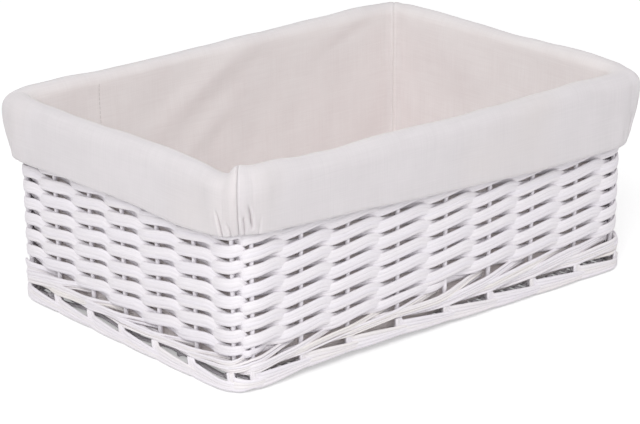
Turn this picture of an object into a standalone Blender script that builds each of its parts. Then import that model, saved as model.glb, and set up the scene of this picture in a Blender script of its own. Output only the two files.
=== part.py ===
"""A rectangular willow storage basket with a cotton liner folded over its rim.

The basket stands on z = 0. X runs along its length and Y across it. Stations count the stakes
round the plan, counter-clockwise from the front left corner, so a strand's place is a station,
a height and a depth in front of the stakes.
"""

import math

import bmesh
import bpy
import numpy as np
from mathutils import Matrix, Vector

# Plan of the basket at its foot
FOOT_LENGTH = 0.457
FOOT_WIDTH = 0.314
FOOT_CORNER_RADIUS = 0.025
CORNER_LEAD_SHARE = 0.29
WALL_FLARE_SHARE = 0.012
FIT_GAP = 0.0003

# Stakes
LONG_SIDE_STAKES = 9
SHORT_SIDE_STAKES = 7
STAKE_RADIUS = 0.0021

# Strands of the siding and the wale
STRAND_THICKNESS = 0.0030
SWING_SHARE = 1.27
PAIR_COUNT = 4
PAIR_PITCH = 0.0148
PAIR_STRAND_HEIGHT = 0.0067
FIRST_PAIR_STAKE_COUNT = 3
WALE_STRAND_COUNT = 3
WALE_COURSE_COUNT = 2
WALE_PITCH = 0.0072
WALE_STRAND_HEIGHT = 0.0034
WALE_START_STAKE_COUNT = 16

# Borders
FOOT_BORDER_HEIGHT = 0.010
FOOT_BORDER_INSIDE = 0.0040
FOOT_BORDER_EDGE = 0.0020
RIM_BOTTOM = 0.168
RIM_HEIGHT = 0.019
RIM_TOP_WIDTH = 0.004
RIM_BOTTOM_WIDTH = 0.006
RIM_SIDE_HEIGHT = 0.008
RIM_UNDERCUT = 0.004

# Base
BASE_LIFT = 0.002
BASE_THICKNESS = 0.0075
BASE_STICK_COUNT = 5
BASE_STICK_RADIUS = 0.0024
BASE_STICK_MARGIN = 0.024

# Liner
CLOTH_THICKNESS = 0.0012
WALL_CLEARANCE = 0.0008
HEM_CLEARANCE = 0.0030
LINER_TOP = 0.190
ROLL_START = 0.180
FLAP_DEPTH = 0.056
FLAP_SLACK = 0.016
FLAP_CORNER_BULGE = 0.0075
HEM_TURN = 0.012
HEM_SLOT = 0.0012
HEM_FOLD_DROP = 0.0012
ELASTIC_THICKNESS = 0.0006
ELASTIC_WIDTH = 0.006
PUCKER_DEPTH = 0.0014
PUCKER_HEIGHT = 0.030
SEAM_GAP = 0.0006

# Subdivisions
ARC_STEP_COUNT = 8
ROLL_STEP_COUNT = 6
WALL_ROW_COUNT = 2

# Places worked out from the sizes above
LONG_SPANS = LONG_SIDE_STAKES - 1
SHORT_SPANS = SHORT_SIDE_STAKES - 1
STATIONS = 2 * (LONG_SPANS + SHORT_SPANS + 2)
WEAVE_DEPTH = STAKE_RADIUS + FIT_GAP + STRAND_THICKNESS / 2
WEAVE_REACH = WEAVE_DEPTH + STRAND_THICKNESS / 2
HALF_LENGTH = FOOT_LENGTH / 2 - WEAVE_REACH
HALF_WIDTH = FOOT_WIDTH / 2 - WEAVE_REACH
LINE_RADIUS = FOOT_CORNER_RADIUS - WEAVE_REACH
QUARTER_TURN = math.radians(90)
LEAD_ANGLE = QUARTER_TURN * CORNER_LEAD_SHARE
RIM_TOP = RIM_BOTTOM + RIM_HEIGHT
RIM_REACH = RIM_TOP * WALL_FLARE_SHARE + WEAVE_REACH
LINER_BOTTOM = BASE_LIFT + BASE_THICKNESS + FIT_GAP
LINER_WALL_DEPTH = -(WEAVE_REACH + WALL_CLEARANCE + CLOTH_THICKNESS / 2)
HEM_INNER_REACH = RIM_REACH + HEM_CLEARANCE + CLOTH_THICKNESS / 2
HEM_LAYER_STEP = CLOTH_THICKNESS + HEM_SLOT
FLAP_REACH = HEM_INNER_REACH + HEM_LAYER_STEP
WALE_START = FOOT_BORDER_HEIGHT + FIT_GAP + WALE_PITCH / 2
PAIR_START = WALE_START + WALE_PITCH * (WALE_COURSE_COUNT + 0.5) + PAIR_PITCH / 2
STATIONS_PER_PITCH = STATIONS / PAIR_COUNT
FIRST_PAIR_STATION = FIRST_PAIR_STAKE_COUNT + 0.5
WALE_START_STATION = WALE_START_STAKE_COUNT + 0.5
STAKE_TOP = RIM_BOTTOM - FIT_GAP


def new_collection(name):
    collection = bpy.data.collections.new(name)
    bpy.context.scene.collection.children.link(collection)
    return collection


def make_material(name, color, roughness):
    material = bpy.data.materials.new(name)
    material.use_nodes = True
    shader = material.node_tree.nodes["Principled BSDF"]
    shader.inputs["Base Color"].default_value = (*color, 1.0)
    shader.inputs["Roughness"].default_value = roughness
    shader.inputs["Metallic"].default_value = 0.0
    return material


def painted_willow(name):
    return make_material(name, (0.80, 0.77, 0.82), 0.6)


def cotton(name):
    return make_material(name, (0.72, 0.68, 0.66), 0.9)


def side_start(quarter):
    """Station of the first stake of one side."""
    return quarter // 2 * (STATIONS // 2) + quarter % 2 * (LONG_SPANS + 1)


def side_sizes(quarter):
    """Spans of one side, half its length, and half the way between the stakes on its corners."""
    on_long_side = quarter % 2 == 0
    spans = LONG_SPANS if on_long_side else SHORT_SPANS
    half_side = HALF_LENGTH if on_long_side else HALF_WIDTH
    return spans, half_side, half_side - LINE_RADIUS + LEAD_ANGLE * LINE_RADIUS


def side_of(station):
    """The side that a station is on, and the stations from its first stake."""
    station %= STATIONS
    quarter = max(side for side in range(4) if side_start(side) <= station)
    return quarter, station - side_start(quarter)


def plan_place(station, reach):
    """A point on the plan, at a station and a reach out from the stakes' line, and its outward way."""
    quarter, station = side_of(station)
    spans, half_side, half_walk = side_sizes(quarter)
    _, distance, _ = side_sizes(quarter + 1)
    walked = half_walk * (2 * min(station, spans) / spans - 1)
    half_straight = half_side - LINE_RADIUS
    place = max(-half_straight, min(half_straight, walked))
    angle = (walked - place) / LINE_RADIUS
    angle += (QUARTER_TURN - 2 * LEAD_ANGLE) * max(0, station - spans)
    turn = Matrix.Rotation(QUARTER_TURN * quarter, 2)
    along = turn @ Vector((1, 0))
    outward = turn @ Vector((0, -1))
    way = outward * math.cos(angle) + along * math.sin(angle)
    centre = along * place + outward * (distance - LINE_RADIUS)
    return centre + way * (LINE_RADIUS + reach), way


def corner_share(station):
    """How far round a corner a station lies: 0 on the straight sides, 1 at a corner's middle."""
    _, way = plan_place(station, 0)
    turned = math.atan2(way.y, way.x) % QUARTER_TURN
    return max(0, 1 - abs(2 * turned / QUARTER_TURN - 1))


def wall_point(station, height, depth):
    """A point on the flared wall, at a depth in front of the stakes' line."""
    place, _ = plan_place(station, height * WALL_FLARE_SHARE + depth)
    return Vector((place.x, place.y, height))


def corner_stations(quarter):
    """Stations at equal turns round the corner at the end of one side."""
    spans, _, half_walk = side_sizes(quarter)
    next_spans, _, next_half_walk = side_sizes(quarter + 1)
    stake = side_start(quarter) + spans
    lead = LEAD_ANGLE * LINE_RADIUS
    turns = [0, LEAD_ANGLE, QUARTER_TURN - LEAD_ANGLE, QUARTER_TURN]
    places = [
        stake - lead * spans / (2 * half_walk), stake,
        stake + 1, stake + 1 + lead * next_spans / (2 * next_half_walk),
    ]
    return [
        float(np.interp(QUARTER_TURN * step / ARC_STEP_COUNT, turns, places))
        for step in range(ARC_STEP_COUNT + 1)
    ]


def ring_stations():
    """Stations round the whole plan: steps on each corner, and none between."""
    return [station for quarter in range(4) for station in corner_stations(quarter)]


def make_profile(name, corners, guides):
    """A closed outline that a curve is swept with, its corners given clockwise."""
    curve = bpy.data.curves.new(name, "CURVE")
    curve.dimensions = "2D"
    curve.fill_mode = "NONE"
    spline = curve.splines.new("POLY")
    spline.points.add(len(corners) - 1)
    for point, (across, up) in zip(spline.points, corners):
        point.co = (across, up, 0, 1)
    spline.use_cyclic_u = True
    profile = bpy.data.objects.new(name, curve)
    profile.hide_render = True
    profile.display_type = "WIRE"
    guides.objects.link(profile)
    return profile


def make_swept(name, points, profile, closed, material, parts):
    """A strand or ring: a poly curve that carries a profile kept upright."""
    curve = bpy.data.curves.new(name, "CURVE")
    curve.dimensions = "3D"
    curve.twist_mode = "Z_UP"
    curve.bevel_mode = "OBJECT"
    curve.bevel_object = profile
    curve.use_fill_caps = not closed
    spline = curve.splines.new("POLY")
    spline.points.add(len(points) - 1)
    for point, place in zip(spline.points, points):
        point.co = (*place, 1)
    spline.use_cyclic_u = closed
    swept = bpy.data.objects.new(name, curve)
    curve.materials.append(material)
    parts.objects.link(swept)
    return swept


def make_rod(name, start, end, radius, material, parts):
    """A straight round rod with flat ends."""
    curve = bpy.data.curves.new(name, "CURVE")
    curve.dimensions = "3D"
    curve.bevel_depth = radius
    curve.bevel_resolution = 2
    curve.use_fill_caps = True
    spline = curve.splines.new("POLY")
    spline.points.add(1)
    spline.points[0].co = (*start, 1)
    spline.points[1].co = (*end, 1)
    rod = bpy.data.objects.new(name, curve)
    curve.materials.append(material)
    parts.objects.link(rod)
    return rod


def make_stakes(parts):
    material = painted_willow("stake_paint")
    bottom = FOOT_BORDER_HEIGHT + FIT_GAP
    for stake in range(STATIONS):
        foot = wall_point(stake, bottom, 0)
        head = wall_point(stake, STAKE_TOP, 0)
        make_rod(f"stake_{stake + 1:02d}", foot, head, STAKE_RADIUS, material, parts)


def diamond(thickness, height):
    return [(thickness / 2, 0), (0, -height / 2), (-thickness / 2, 0), (0, height / 2)]


def strand_stations(start_station, spans):
    """Stations of a strand's points as it climbs to the left: two a span, and four on the corners."""
    stations = []
    for quarter_step in range(4 * spans + 1):
        station = start_station - quarter_step / 4
        quarter, from_side_start = side_of(station)
        side_spans, _, _ = side_sizes(quarter)
        if quarter_step % 2 == 0 or from_side_start > side_spans:
            stations.append(station)
    return stations


def swing(angle):
    """How far a strand stands out, from 1 in front of the stakes to -1 behind them."""
    return max(-1, min(1, SWING_SHARE * math.cos(angle)))


def pairing_points(start_station, half_turn):
    """A strand that is in front of every other stake and rises to the right as it passes in front."""
    rise = PAIR_PITCH / 4
    climb = PAIR_PITCH / STATIONS_PER_PITCH
    highest = STAKE_TOP - rise - PAIR_STRAND_HEIGHT / 2
    spans = int((highest - PAIR_START) / climb)
    points = []
    for station in strand_stations(start_station, spans):
        angle = math.pi * (station + half_turn)
        height = PAIR_START + climb * (start_station - station) + rise * math.sin(angle)
        points.append(wall_point(station, height, WEAVE_DEPTH * swing(angle)))
    return points


def make_siding(parts, guides):
    """Four pairs of strands that start a quarter of the way round from each other."""
    material = painted_willow("siding_paint")
    profile = make_profile("siding_profile", diamond(STRAND_THICKNESS, PAIR_STRAND_HEIGHT), guides)
    for pair in range(PAIR_COUNT):
        start_station = FIRST_PAIR_STATION + pair * STATIONS_PER_PITCH
        for half_turn, letter in ((0, "a"), (1, "b")):
            points = pairing_points(start_station, half_turn)
            make_swept(f"siding_{pair + 1}{letter}", points, profile, False, material, parts)


def wedge(station):
    """Height the wale has to fill below the lowest pair: it jumps up where a pair starts."""
    past_start = (station - FIRST_PAIR_STATION) % STATIONS_PER_PITCH
    return PAIR_PITCH * (1 - past_start / STATIONS_PER_PITCH) * min(1, past_start)


def wale_points(strand):
    """A strand in front of two stakes and behind the third, climbing one course a turn."""
    lift = (WALE_PITCH - WALE_STRAND_HEIGHT) / 2
    climb = WALE_PITCH / STATIONS
    half_period = WALE_STRAND_COUNT / 2
    lowest = WALE_START - lift
    spread = WALE_PITCH * WALE_COURSE_COUNT + 2 * lift
    points = []
    for station in strand_stations(WALE_START_STATION, WALE_COURSE_COUNT * STATIONS):
        past_middle = (station + strand - 0.5 + half_period) % WALE_STRAND_COUNT - half_period
        from_hidden = half_period - abs(past_middle)
        rise = math.copysign(min(1, 3 * abs(past_middle), 3 * from_hidden), past_middle)
        height = WALE_START + climb * (WALE_START_STATION - station) + lift * rise
        height += wedge(station) * (height - lowest) / spread
        front = -swing(math.pi * min(1, from_hidden))
        points.append(wall_point(station, height, WEAVE_DEPTH * front))
    return points


def make_wale(parts, guides):
    material = painted_willow("wale_paint")
    profile = make_profile("wale_profile", diamond(STRAND_THICKNESS, WALE_STRAND_HEIGHT), guides)
    for strand in range(WALE_STRAND_COUNT):
        make_swept(f"wale_{strand + 1}", wale_points(strand), profile, False, material, parts)


def make_foot_border(parts, guides):
    """The ring that the basket stands on, with a flat underside."""
    inside, outside = -FOOT_BORDER_INSIDE, WEAVE_REACH
    edge, top = FOOT_BORDER_EDGE, FOOT_BORDER_HEIGHT
    corners = [
        (inside + edge, 0), (inside, edge), (inside, top - edge), (inside + edge, top),
        (outside - edge, top), (outside, top - edge), (outside, edge), (outside - edge, 0),
    ]
    profile = make_profile("foot_border_profile", corners, guides)
    points = [(*plan_place(station, 0)[0], 0) for station in ring_stations()]
    make_swept("foot_border", points, profile, True, painted_willow("foot_border_paint"), parts)


def make_rim_border(parts, guides):
    """The finished top edge of the wicker, under the liner."""
    side = WEAVE_REACH
    low, high = RIM_UNDERCUT, RIM_UNDERCUT + RIM_SIDE_HEIGHT
    corners = [
        (-RIM_BOTTOM_WIDTH / 2, 0), (-side, low), (-side, high), (-RIM_TOP_WIDTH / 2, RIM_HEIGHT),
        (RIM_TOP_WIDTH / 2, RIM_HEIGHT), (side, high), (side, low), (RIM_BOTTOM_WIDTH / 2, 0),
    ]
    profile = make_profile("rim_border_profile", corners, guides)
    points = [wall_point(station, RIM_BOTTOM, 0) for station in ring_stations()]
    make_swept("rim_border", points, profile, True, painted_willow("rim_border_paint"), parts)


def make_plan_plate(name, reach, bottom, thickness, parts):
    """A flat plate with the basket's plan."""
    curve = bpy.data.curves.new(name, "CURVE")
    curve.dimensions = "2D"
    curve.fill_mode = "BOTH"
    curve.extrude = thickness / 2
    spline = curve.splines.new("POLY")
    places = [plan_place(station, reach)[0] for station in ring_stations()]
    spline.points.add(len(places) - 1)
    for point, place in zip(spline.points, places):
        point.co = (place.x, place.y, 0, 1)
    spline.use_cyclic_u = True
    plate = bpy.data.objects.new(name, curve)
    plate.location.z = bottom + thickness / 2
    parts.objects.link(plate)
    return plate


def curve_to_mesh(source, parts):
    """The same shape as a welded mesh, which can take a Boolean."""
    bpy.context.view_layer.update()
    evaluated = source.evaluated_get(bpy.context.evaluated_depsgraph_get())
    mesh = bpy.data.meshes.new_from_object(evaluated)
    welded = bmesh.new()
    welded.from_mesh(mesh)
    bmesh.ops.remove_doubles(welded, verts=welded.verts, dist=FIT_GAP / 10)
    welded.to_mesh(mesh)
    welded.free()
    name = source.name
    result = bpy.data.objects.new(name, mesh)
    result.matrix_world = source.matrix_world
    bpy.data.objects.remove(source)
    result.name = name
    parts.objects.link(result)
    return result


def make_base(parts, guides):
    """The woven base, with the base sticks in tunnels through it."""
    edge = -(FOOT_BORDER_INSIDE + FIT_GAP)
    plate = curve_to_mesh(make_plan_plate("base_weave", edge, BASE_LIFT, BASE_THICKNESS, parts), parts)
    plate.data.materials.append(painted_willow("base_weave_paint"))
    middle = BASE_LIFT + BASE_THICKNESS / 2
    reach = HALF_LENGTH + edge
    spread = HALF_WIDTH + edge - BASE_STICK_MARGIN
    stick_material = painted_willow("base_stick_paint")
    for stick in range(BASE_STICK_COUNT):
        across = spread * (2 * stick / (BASE_STICK_COUNT - 1) - 1)
        bpy.ops.mesh.primitive_cylinder_add(
            vertices=8, radius=BASE_STICK_RADIUS + FIT_GAP, depth=2 * reach + BASE_STICK_MARGIN,
            location=(0, across, middle), rotation=(0, math.radians(90), 0))
        cutter = bpy.context.active_object
        cutter.name = f"base_tunnel_{stick + 1}"
        cutter.hide_render = True
        cutter.display_type = "WIRE"
        for owner in list(cutter.users_collection):
            owner.objects.unlink(cutter)
        guides.objects.link(cutter)
        cut = plate.modifiers.new(f"tunnel_{stick + 1}", "BOOLEAN")
        cut.operation = "DIFFERENCE"
        cut.solver = "EXACT"
        cut.object = cutter
        start = Vector((-reach, across, middle))
        end = Vector((reach, across, middle))
        make_rod(f"base_stick_{stick + 1}", start, end, BASE_STICK_RADIUS, stick_material, parts)


def panel_stations(quarter):
    """Stations across one liner panel, from the middle of one corner to the middle of the next."""
    first = side_start(quarter)
    spans, _, _ = side_sizes(quarter)
    half = ARC_STEP_COUNT // 2
    return (
        corner_stations(quarter - 1)[half:]
        + [first + span for span in range(2, spans, 2)]
        + corner_stations(quarter)[:half + 1]
    )


def hem_height(station):
    """The hem hangs lowest at the front right corner."""
    place, _ = plan_place(station, 0)
    right = (place.x / HALF_LENGTH + 1) / 2
    front = (1 - place.y / HALF_WIDTH) / 2
    return LINER_TOP - FLAP_DEPTH - FLAP_SLACK * max(0, right) * max(0, front)


def pucker(station, height):
    """How far the gathers at the corners push the cloth out, in turn out and in."""
    above = max(HEM_TURN, height - hem_height(station) - CLOTH_THICKNESS / 2)
    fade = max(0, (PUCKER_HEIGHT - above) / (PUCKER_HEIGHT - HEM_TURN))
    turn = round(corner_share(station) * ARC_STEP_COUNT / 2) % 2
    return PUCKER_DEPTH * turn * fade * min(1, 2 * corner_share(station))


def bulge(station, height):
    """How far the flap stands out at a corner, from the roll down to nothing at the hem's turn."""
    low = hem_height(station) + CLOTH_THICKNESS / 2 + HEM_TURN
    rise = max(0, (height - low) / (ROLL_START - low))
    return FLAP_CORNER_BULGE * corner_share(station) * min(1, rise)


def liner_rows(station):
    """Reach and height of the cloth's middle, from the bottom inside, over the rim, to the hem."""
    rows = []
    for row in range(WALL_ROW_COUNT + 1):
        height = LINER_BOTTOM + (ROLL_START - LINER_BOTTOM) * row / WALL_ROW_COUNT
        rows.append((height * WALL_FLARE_SHARE + LINER_WALL_DEPTH, height))
    inner = rows[-1][0]
    roll_height = LINER_TOP - CLOTH_THICKNESS / 2 - ROLL_START
    for step in range(1, ROLL_STEP_COUNT):
        angle = math.pi * step / ROLL_STEP_COUNT
        outer_share = (1 - math.cos(angle)) / 2
        reach = inner + (FLAP_REACH - inner) * outer_share
        reach += bulge(station, ROLL_START) * outer_share ** 2
        rows.append((reach, ROLL_START + roll_height * math.sin(angle)))
    hem = hem_height(station) + CLOTH_THICKNESS / 2
    for height in (ROLL_START, hem + PUCKER_HEIGHT, hem + HEM_TURN, hem + HEM_FOLD_DROP):
        reach = FLAP_REACH + bulge(station, height) + pucker(station, height)
        rows.append((reach, height))
    puffed = pucker(station, hem)
    rows.append((FLAP_REACH - HEM_LAYER_STEP / 2 + puffed, hem))
    rows.append((HEM_INNER_REACH + puffed, hem + HEM_FOLD_DROP))
    rows.append((HEM_INNER_REACH + puffed, hem + HEM_TURN))
    return rows


def make_liner_panel(name, quarter, parts):
    """One side of the liner as a sheet, given its thickness by Solidify."""
    stations = panel_stations(quarter)
    columns = [liner_rows(station) for station in stations]
    row_count = len(columns[0])
    sheet = bmesh.new()
    bmesh.ops.create_grid(sheet, x_segments=len(stations) - 1, y_segments=row_count - 1, size=1)
    sheet.verts.ensure_lookup_table()
    for vertex in sheet.verts:
        column = round((vertex.co.x + 1) / 2 * (len(stations) - 1))
        row = round((vertex.co.y + 1) / 2 * (row_count - 1))
        reach, height = columns[column][row]
        place, way = plan_place(stations[column], reach)
        if column in (0, len(stations) - 1):
            inset = Vector((-way.y, way.x)) * (SEAM_GAP / 2)
            place += inset if column == 0 else -inset
        vertex.co = (place.x, place.y, height)
    mesh = bpy.data.meshes.new(name)
    sheet.to_mesh(mesh)
    sheet.free()
    mesh.shade_smooth()
    mesh.materials.append(cotton(f"{name}_cotton"))
    panel = bpy.data.objects.new(name, mesh)
    thickness = panel.modifiers.new("cloth", "SOLIDIFY")
    thickness.thickness = CLOTH_THICKNESS
    thickness.offset = 0
    parts.objects.link(panel)


def make_liner(parts, guides):
    """Four side panels, the floor panel, and the elastic in the hem."""
    for quarter, side in enumerate(("front", "right", "back", "left")):
        make_liner_panel(f"liner_{side}", quarter, parts)
    wall = LINER_BOTTOM * WALL_FLARE_SHARE + LINER_WALL_DEPTH
    floor = make_plan_plate("liner_floor", wall - CLOTH_THICKNESS / 2 - FIT_GAP, LINER_BOTTOM,
                            CLOTH_THICKNESS, parts)
    floor.data.materials.append(cotton("liner_floor_cotton"))

    half_thickness, half_width = ELASTIC_THICKNESS / 2, ELASTIC_WIDTH / 2
    corners = [
        (-half_thickness, -half_width), (-half_thickness, half_width),
        (half_thickness, half_width), (half_thickness, -half_width),
    ]
    profile = make_profile("elastic_profile", corners, guides)
    points = []
    for quarter in range(4):
        for station in panel_stations(quarter)[:-1]:
            hem = hem_height(station) + CLOTH_THICKNESS / 2
            reach = FLAP_REACH - HEM_LAYER_STEP / 2 + pucker(station, hem)
            place, _ = plan_place(station, reach)
            points.append((place.x, place.y, hem + HEM_TURN - half_width))
    make_swept("hem_elastic", points, profile, True, cotton("elastic_web"), parts)


def main():
    for item in list(bpy.data.objects):
        bpy.data.objects.remove(item)
    parts = new_collection("wicker_storage_basket")
    guides = new_collection("guides")
    make_foot_border(parts, guides)
    make_base(parts, guides)
    make_stakes(parts)
    make_wale(parts, guides)
    make_siding(parts, guides)
    make_rim_border(parts, guides)
    make_liner(parts, guides)


main()
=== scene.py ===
# %% [markdown]
# # A white willow storage basket with a cotton liner
#
# The real basket is woven from willow rods that were painted white: upright stakes, a siding woven
# in pairs of strands that twist round each other, a band of steeper rods below it, and a border at
# the foot where each stake is bent over and laid against its neighbours. A loose cotton liner is
# folded over the rim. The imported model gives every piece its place. This lesson dresses it.

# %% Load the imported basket
import math

import bmesh
import bpy
import numpy as np
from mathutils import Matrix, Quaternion, Vector


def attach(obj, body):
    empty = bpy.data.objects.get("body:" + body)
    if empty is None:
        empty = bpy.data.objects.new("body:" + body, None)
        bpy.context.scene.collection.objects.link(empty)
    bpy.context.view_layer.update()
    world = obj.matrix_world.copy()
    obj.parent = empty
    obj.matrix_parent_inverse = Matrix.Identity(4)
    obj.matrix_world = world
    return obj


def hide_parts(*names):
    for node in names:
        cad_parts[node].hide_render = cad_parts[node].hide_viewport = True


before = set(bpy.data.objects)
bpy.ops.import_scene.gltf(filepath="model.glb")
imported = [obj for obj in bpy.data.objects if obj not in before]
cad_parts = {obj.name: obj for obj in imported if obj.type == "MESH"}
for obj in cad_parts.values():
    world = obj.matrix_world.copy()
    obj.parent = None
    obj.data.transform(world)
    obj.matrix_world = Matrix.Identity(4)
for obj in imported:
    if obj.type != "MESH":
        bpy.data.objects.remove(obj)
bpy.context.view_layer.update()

# %% [markdown]
# ## The basket's plan
#
# Every rod follows the basket's wall, so a place is easiest to say as a basket maker would: which
# stake it is at, how high, and how far in front of the stakes. Stations count the stakes
# counter-clockwise from the front left corner, and half a station is half way to the next stake.
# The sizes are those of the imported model. The helpers work on whole rows of stations at once,
# because a strand has hundreds of points.

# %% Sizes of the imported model
HALF_LENGTH = 0.2231
HALF_WIDTH = 0.1516
LINE_RADIUS = 0.0196
LEAD_ANGLE = math.radians(26.1)
FLARE = 0.012
LONG_SPANS = 8
SHORT_SPANS = 6
STATIONS = 32
SIDE_SPANS = (LONG_SPANS, SHORT_SPANS, LONG_SPANS, SHORT_SPANS)
CORNERS = [sum(SIDE_SPANS[:side + 1]) + side + 0.5 for side in range(4)]
STAKE_RADIUS = 0.0021
BORDER_TOP = 0.0103
PAIR_START = 0.0393
PAIR_PITCH = 0.0148
RIM_BOTTOM = 0.168
LINER_BOTTOM = 0.0098
LINER_TOP = 0.190


# %% A place on the plan
def plan(stations, reach):
    """Points round the plan, at a reach out from the stakes' line, and the outward way at each."""
    stations, reach = np.broadcast_arrays(np.mod(stations, STATIONS).astype(float), reach)
    place = np.zeros((*stations.shape, 2))
    way = np.zeros((*stations.shape, 2))
    start = 0
    for quarter in range(4):
        long_side = quarter % 2 == 0
        spans = LONG_SPANS if long_side else SHORT_SPANS
        straight = (HALF_LENGTH if long_side else HALF_WIDTH) - LINE_RADIUS
        distance = (HALF_WIDTH if long_side else HALF_LENGTH) - LINE_RADIUS
        angle = math.radians(90 * quarter)
        along = np.array((math.cos(angle), math.sin(angle)))
        outward = np.array((math.sin(angle), -math.cos(angle)))
        here = (stations >= start) & (stations < start + spans + 1)
        past = stations[here] - start
        walked = (straight + LEAD_ANGLE * LINE_RADIUS) * (2 * np.clip(past / spans, 0, 1) - 1)
        middle = np.clip(walked, -straight, straight)
        turned = (walked - middle) / LINE_RADIUS
        turned += (math.radians(90) - 2 * LEAD_ANGLE) * np.clip(past - spans, 0, 1)
        side = np.cos(turned)[:, None] * outward + np.sin(turned)[:, None] * along
        place[here] = middle[:, None] * along + distance * outward
        place[here] += side * (LINE_RADIUS + reach[here])[:, None]
        way[here] = side
        start += spans + 1
    return place, way


# %% Smooth curves round the basket
CURVE_STEPS = 40


def ring_curve(line, blur):
    """A smooth function of the station through a few given values, joined round the ring."""
    fine = np.arange(0, STATIONS, 1 / CURVE_STEPS)
    stations, values = zip(*line)
    rough = np.interp(fine, stations, values, period=STATIONS)
    reach = int(3 * CURVE_STEPS * blur)
    weights = np.exp(-0.5 * (np.arange(-reach, reach + 1) / (CURVE_STEPS * blur)) ** 2)
    joined = np.concatenate([rough[-reach:], rough, rough[:reach]])
    soft = np.convolve(joined, weights / weights.sum(), "valid")
    return lambda at: np.interp(at, fine, soft, period=STATIONS)


# %% A place on the woven wall
# The stakes of the real basket aren't quite evenly spaced, and its rows sag a little in places.
stake_drift = ring_curve([
    (0, 0.04), (1, -0.01), (2, -0.05), (3, 0.01), (4, 0.06), (5, 0.04), (6, 0.02), (7, 0.06), (8, 0.04),
    (10, 0.0), (24, 0.0), (25, -0.04), (26, -0.06), (27, 0.0), (28, -0.04), (29, -0.03), (30, 0.02),
    (31, 0.0),
], 0.1)
row_drift = ring_curve([
    (0, -0.0016), (1, -0.0024), (3, -0.0028), (5, -0.0032), (7.5, -0.0036), (10, -0.0026), (16, 0.0),
    (24, 0.0022), (25, 0.0026), (26.3, 0.0006), (27, 0.0002), (28.5, -0.0016), (30, 0.0006),
    (31, -0.0002),
], 0.3)


def on_plan(stations, reach, heights):
    """Points at a reach out from the stakes' line, with their heights, and the outward ways."""
    place, way = plan(stations, reach)
    heights = np.broadcast_to(heights, place.shape[:-1])[..., None]
    return np.concatenate([place, heights], axis=-1), np.concatenate([way, 0 * heights], axis=-1)


def wall(stations, heights, depths):
    """Points on the flared wall, at a depth in front of the stakes' line, and the outward ways."""
    return on_plan(stations + stake_drift(stations), heights * FLARE + depths, heights)


def from_corner(stations):
    """Stations from the nearest corner's middle."""
    half = STATIONS / 2
    away = [np.abs(np.mod(stations - corner + half, STATIONS) - half) for corner in CORNERS]
    return np.min(away, axis=0)


print("front left stake stands at", wall(0.0, 0.05, 0.0)[0].round(4))

# %% [markdown]
# ## The camera
#
# The photograph was taken from a little above the front left corner, from far away, so lines that
# are parallel stay nearly so. The camera's numbers were fitted to the rim, the foot and the stakes.

# %% Camera
IMAGE_WIDTH = 640
SENSOR_WIDTH = 36
VIEW_TURN = math.radians(-40.961)
VIEW_RISE = math.radians(19.326)
VIEW_ROLL = math.radians(-0.45)
VIEW_DISTANCE = 2.3891
VIEW_END = 20.0
VIEW_TARGET = Vector((-0.00861, -0.00302, 0.06741))
FOCAL_PIXELS = 2675.3


def way_from(turn, rise):
    """The way from the basket to what stands at this turn and rise."""
    return Vector((math.sin(turn) * math.cos(rise), -math.cos(turn) * math.cos(rise), math.sin(rise)))


def stand(thing, way, distance, roll):
    """Stands the camera or the lamp off the basket and turns it to face the basket."""
    thing.location = VIEW_TARGET + way * distance
    thing.rotation_mode = "QUATERNION"
    thing.rotation_quaternion = way.to_track_quat("Z", "Y") @ Quaternion((0, 0, 1), roll)
    bpy.context.scene.collection.objects.link(thing)


camera_data = bpy.data.cameras.new("camera")
camera_data.sensor_width = SENSOR_WIDTH
camera_data.lens = SENSOR_WIDTH * FOCAL_PIXELS / IMAGE_WIDTH
camera_data.clip_end = VIEW_END
camera = bpy.data.objects.new("camera", camera_data)
stand(camera, way_from(VIEW_TURN, VIEW_RISE), VIEW_DISTANCE, VIEW_ROLL)
bpy.context.scene.camera = camera
bpy.context.scene.view_settings.view_transform = "Standard"
print("lens:", round(camera_data.lens, 1), "mm")

# %% [markdown]
# ## Shader maths as plain sums
#
# A finish is a few patterns added and multiplied. Written as nodes one by one, that takes pages, so
# a small class wraps a socket and lets Python's own signs add the Math nodes.


# %% A socket that can be calculated with
class Value:
    """One output socket. Python's signs on it add Math nodes."""

    def __init__(self, owner, socket):
        self.owner = owner
        self.socket = socket

    def math(self, operation, *others, clamp=False):
        items = (self, *others)
        return self.owner.node("Math", items, operation=operation, use_clamp=clamp)["Value"]

    def __add__(self, other):
        return self.math("ADD", other)

    def __sub__(self, other):
        return self.math("SUBTRACT", other)

    def __mul__(self, other):
        return self.math("MULTIPLY", other)

    def __truediv__(self, other):
        return self.math("DIVIDE", other)

    def __rsub__(self, other):
        return (self * -1) + other

    __radd__ = __add__
    __rmul__ = __mul__

    def band(self, low, high):
        """0 below low, 1 above high, and a straight ramp between."""
        return ((self - low) / (high - low)).math("ADD", 0, clamp=True)


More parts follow.
